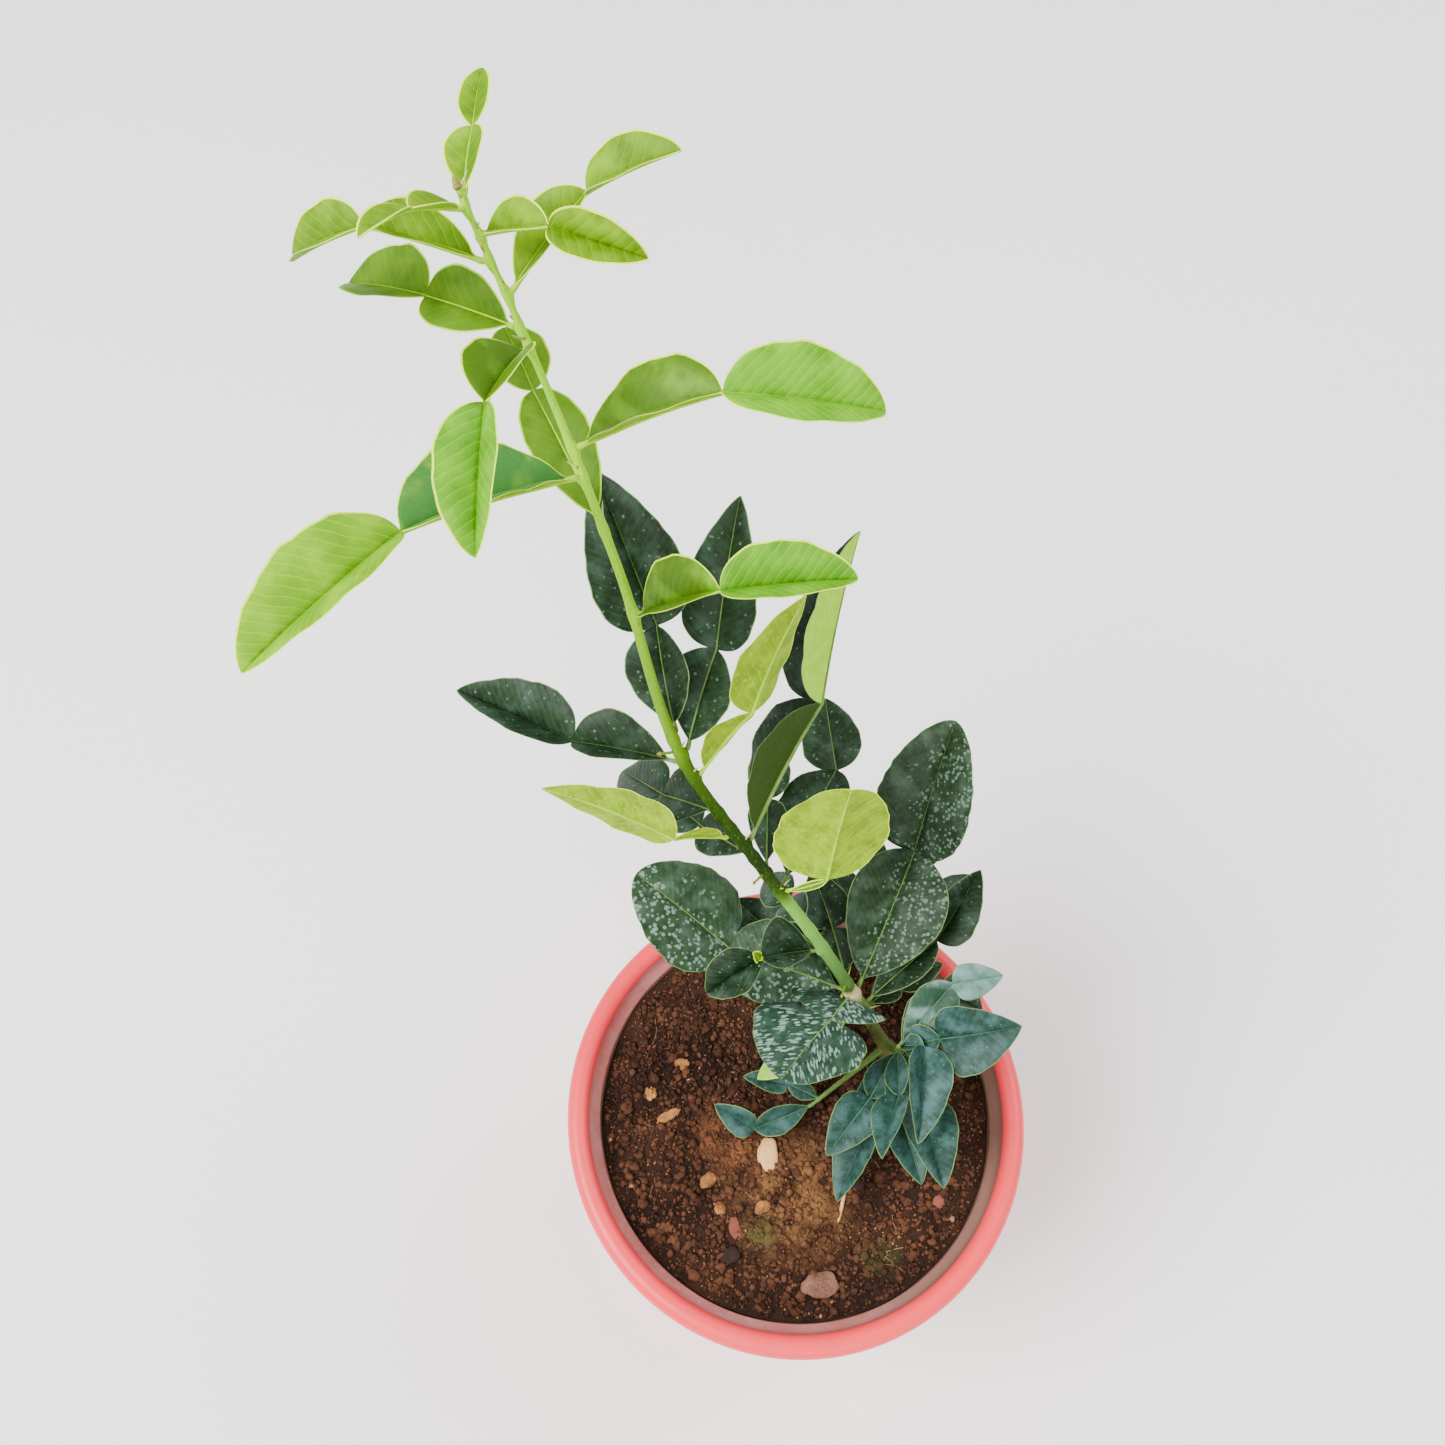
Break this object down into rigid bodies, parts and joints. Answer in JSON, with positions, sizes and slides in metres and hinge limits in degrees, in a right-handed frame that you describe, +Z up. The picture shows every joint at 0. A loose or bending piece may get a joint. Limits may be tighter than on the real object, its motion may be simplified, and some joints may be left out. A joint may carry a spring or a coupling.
{
  "type": "potted makrut lime tree",
  "caption": "Young citrus tree with a slender leaning stem and double-lobed leaves, standing in a round plastic pot filled with soil.",
  "frame": {"origin": "centre of the pot's flat underside", "axes": "+Z up through the pot's axis; -Y is the near side in the picture and +X is to its right, where the stem's foot stands"},
  "size_m": [0.2446, 0.2635, 0.5565],
  "materials": {
    "pot_plastic": "satin",
    "soil": "rough",
    "bark": "satin",
    "young_leaf": "glossy",
    "old_leaf": "glossy",
    "pale_leaf": "matte"
  },
  "bodies": {
    "root": {"pot": "pot_plastic", "soil": "soil", "trunk": "bark", "leaf_tip_upright": "young_leaf", "leaf_tip_left": "young_leaf", "leaf_tip_right": "young_leaf", "leaf_top_left": "young_leaf", "leaf_top_right": "young_leaf", "leaf_upper_left": "young_leaf", "leaf_upper_front": "young_leaf", "leaf_long_right": "young_leaf", "leaf_upper_back": "young_leaf", "leaf_long_left": "young_leaf", "leaf_bright_right": "young_leaf", "leaf_back_left": "old_leaf", "leaf_back_middle": "old_leaf", "leaf_side_left": "old_leaf", "leaf_pale_upright": "pale_leaf", "leaf_left_behind": "old_leaf", "leaf_pale_left": "pale_leaf", "leaf_back_tall": "old_leaf", "leaf_left_low": "old_leaf", "leaf_back_short": "old_leaf", "leaf_back_lobed": "old_leaf", "leaf_pale_front": "pale_leaf", "leaf_low_under": "old_leaf", "leaf_left_big": "old_leaf", "leaf_left_small": "old_leaf", "leaf_left_round": "old_leaf", "leaf_back_low": "old_leaf", "leaf_left_under": "old_leaf", "leaf_right_tall": "old_leaf", "leaf_front_big": "old_leaf", "leaf_right_under": "old_leaf", "leaf_right_folded": "old_leaf", "bough_right": "bark", "foliage_right": "old_leaf", "bough_low_left": "bark", "foliage_low_left": "old_leaf", "bough_back": "bark", "foliage_back": "old_leaf"}
  },
  "joints": []
}
